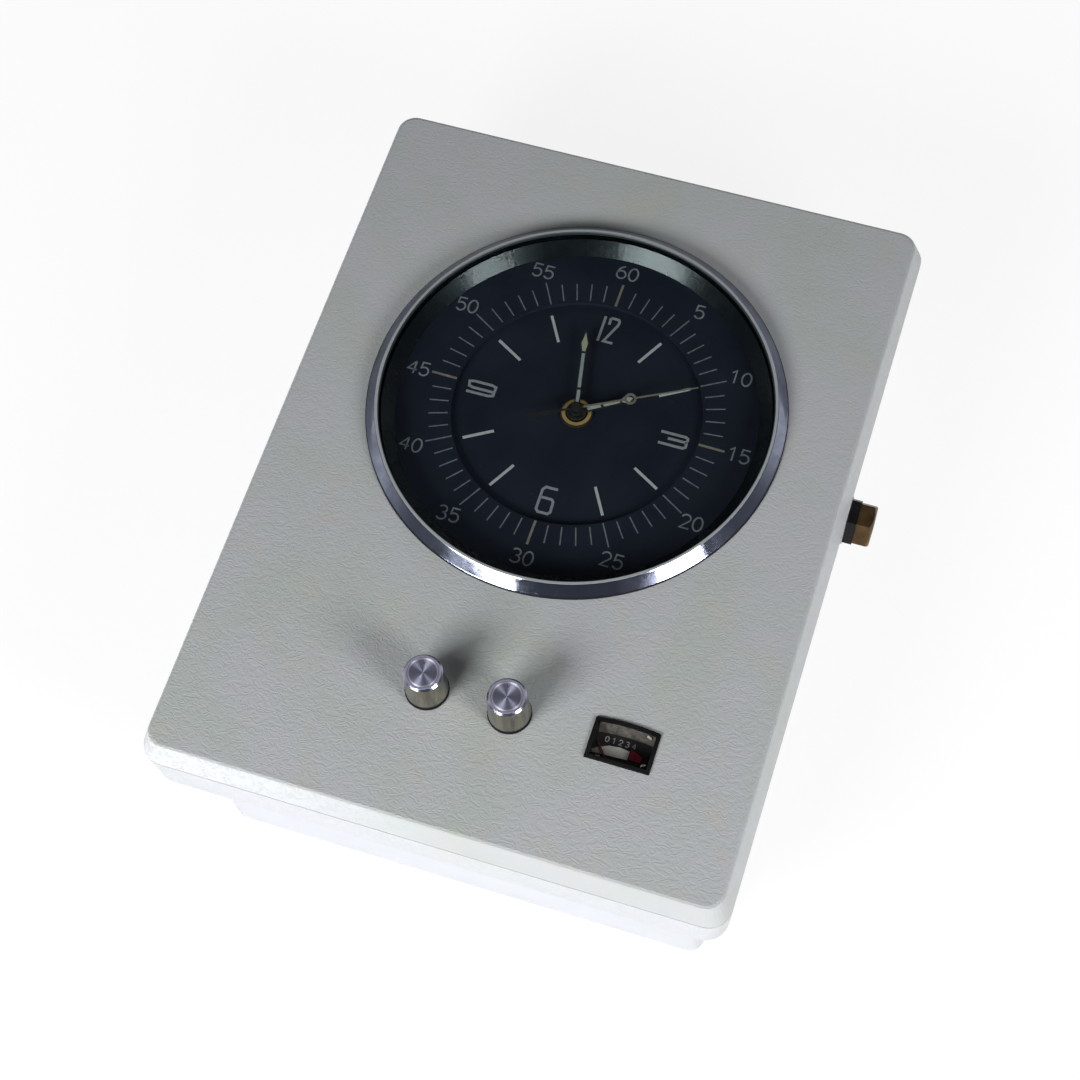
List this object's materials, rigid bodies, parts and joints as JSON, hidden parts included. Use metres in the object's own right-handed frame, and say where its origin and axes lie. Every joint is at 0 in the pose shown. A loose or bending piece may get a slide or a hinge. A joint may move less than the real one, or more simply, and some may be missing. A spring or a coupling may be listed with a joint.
{
  "type": "marine clock",
  "caption": "Rectangular metal-cased ship's clock with a round glazed dial, luminous hands, two control knobs, a small level meter and a side cable gland.",
  "frame": {"origin": "point of the back plate's outer face straight behind the centre of the front face", "axes": "+Z out of the dial, +Y towards twelve o'clock, +X to the right as read"},
  "size_m": [0.2175, 0.2736, 0.0755],
  "materials": {
    "cover_paint": "wrinkled satin",
    "case_paint": "wrinkled satin",
    "box_sheet": "satin",
    "black_rubber": "matt",
    "zinc_screws": "zinc plated",
    "bezel_chrome": "polished",
    "clear_glass": "clear",
    "spacer_metal": "polished",
    "dial_black": "matt",
    "lume": "luminous paint",
    "bush_bronze": "aged",
    "brass": "turned",
    "aluminium_plate": "plain",
    "steel": "turned",
    "coil_copper": "enamelled copper",
    "magnet_steel": "plain",
    "white_plastic": "plain",
    "hand_paint": "satin",
    "knob_metal": "polished",
    "knob_cap_metal": "spun",
    "black_plastic": "moulded",
    "control_plastic": "moulded",
    "clear_plastic": "clear plastic",
    "meter_card": "printed card",
    "pointer_red": "thin strip",
    "board_green": "resist",
    "component_dark": "mixed parts"
  },
  "bodies": {
    "case": {"front_cover": "cover_paint", "case_gasket": "black_rubber", "rear_case": "case_paint", "rear_box": "box_sheet", "back_plate": "box_sheet", "back_plate_screws": "zinc_screws", "cover_screws": "zinc_screws", "box_screws": "zinc_screws", "bezel_ring": "bezel_chrome", "bezel_gasket": "black_rubber", "crystal": "clear_glass", "spacer_ring": "spacer_metal", "dial_plate": "dial_black", "chapter_ring": "dial_black", "hour_markers": "lume", "dial_bush": "bush_bronze", "dial_nut": "brass", "mount_plate": "aluminium_plate", "mount_plate_screws": "zinc_screws", "movement_front_plate": "brass", "movement_back_plate": "brass", "movement_spacers": "steel", "movement_screws": "zinc_screws", "motor_coil": "coil_copper", "motor_stator": "magnet_steel", "left_control_body": "control_plastic", "right_control_body": "control_plastic", "control_nuts": "steel", "knob_washers": "black_plastic", "meter_case": "black_plastic", "meter_window": "clear_plastic", "meter_scale": "meter_card", "meter_magnet": "magnet_steel", "gland_body": "black_plastic", "gland_seal": "black_rubber", "gland_cap_nut": "brass", "gland_lock_nut": "black_plastic", "circuit_board": "board_green", "board_components": "component_dark", "terminal_block": "white_plastic"},
    "seconds": {"seconds_wheel": "brass", "seconds_hand": "hand_paint"},
    "rotor": {"motor_rotor": "magnet_steel"},
    "intermediate": {"intermediate_wheel": "white_plastic"},
    "third": {"third_wheel": "brass"},
    "minutes": {"centre_wheel": "brass", "cannon_pinion": "steel", "minute_hand": "hand_paint", "minute_hand_lume": "lume"},
    "minute_wheel": {"minute_wheel": "brass"},
    "hours": {"hour_wheel": "brass", "hour_hand": "hand_paint", "hour_hand_lume": "lume"},
    "left_control": {"left_knob": "knob_metal", "left_knob_cap": "knob_cap_metal", "left_control_shaft": "steel"},
    "right_control": {"right_knob": "knob_metal", "right_knob_cap": "knob_cap_metal", "right_control_shaft": "steel"},
    "meter_movement": {"meter_pointer": "pointer_red"}
  },
  "joints": [
    {"name": "seconds_turn", "type": "hinge", "parent": "case", "child": "seconds", "pos_m": [0.0009, 0.0302, 0.045], "axis": [0, 0, -1], "continuous": true},
    {"name": "rotor_turn", "type": "hinge", "parent": "case", "child": "rotor", "pos_m": [-0.01511, 0.02437, 0.04], "axis": [0, 0, -1], "continuous": true},
    {"name": "intermediate_turn", "type": "hinge", "parent": "case", "child": "intermediate", "pos_m": [-0.00722, 0.02724, 0.04], "axis": [0, 0, -1], "continuous": true},
    {"name": "third_turn", "type": "hinge", "parent": "case", "child": "third", "pos_m": [0.0162, 0.0302, 0.04], "axis": [0, 0, -1], "continuous": true},
    {"name": "minutes_turn", "type": "hinge", "parent": "case", "child": "minutes", "pos_m": [0.0009, 0.0302, 0.048], "axis": [0, 0, -1], "continuous": true},
    {"name": "minute_wheel_turn", "type": "hinge", "parent": "case", "child": "minute_wheel", "pos_m": [0.0009, 0.0422, 0.048], "axis": [0, 0, -1], "continuous": true},
    {"name": "hours_turn", "type": "hinge", "parent": "case", "child": "hours", "pos_m": [0.0009, 0.0302, 0.052], "axis": [0, 0, -1], "continuous": true},
    {"name": "left_knob_turn", "type": "hinge", "parent": "case", "child": "left_control", "pos_m": [-0.0147, -0.088, 0.065], "axis": [0, 0, -1], "range_deg": [-150, 150]},
    {"name": "right_knob_turn", "type": "hinge", "parent": "case", "child": "right_control", "pos_m": [0.0147, -0.088, 0.065], "axis": [0, 0, -1], "range_deg": [-150, 150]},
    {"name": "meter_pointer_swing", "type": "hinge", "parent": "case", "child": "meter_movement", "pos_m": [0.0543, -0.0986, 0.05], "axis": [0, 0, -1], "range_deg": [0, 76], "stiffness_Nm_per_rad": 0.00002}
  ],
  "couplings": [
    {"joint": "rotor_turn", "follows": "seconds_turn", "ratio": 30},
    {"joint": "intermediate_turn", "follows": "seconds_turn", "ratio": -5},
    {"joint": "third_turn", "follows": "seconds_turn", "ratio": -0.125},
    {"joint": "minutes_turn", "follows": "seconds_turn", "ratio": 0.016667},
    {"joint": "minute_wheel_turn", "follows": "seconds_turn", "ratio": -0.0055556},
    {"joint": "hours_turn", "follows": "seconds_turn", "ratio": 0.0013889}
  ]
}
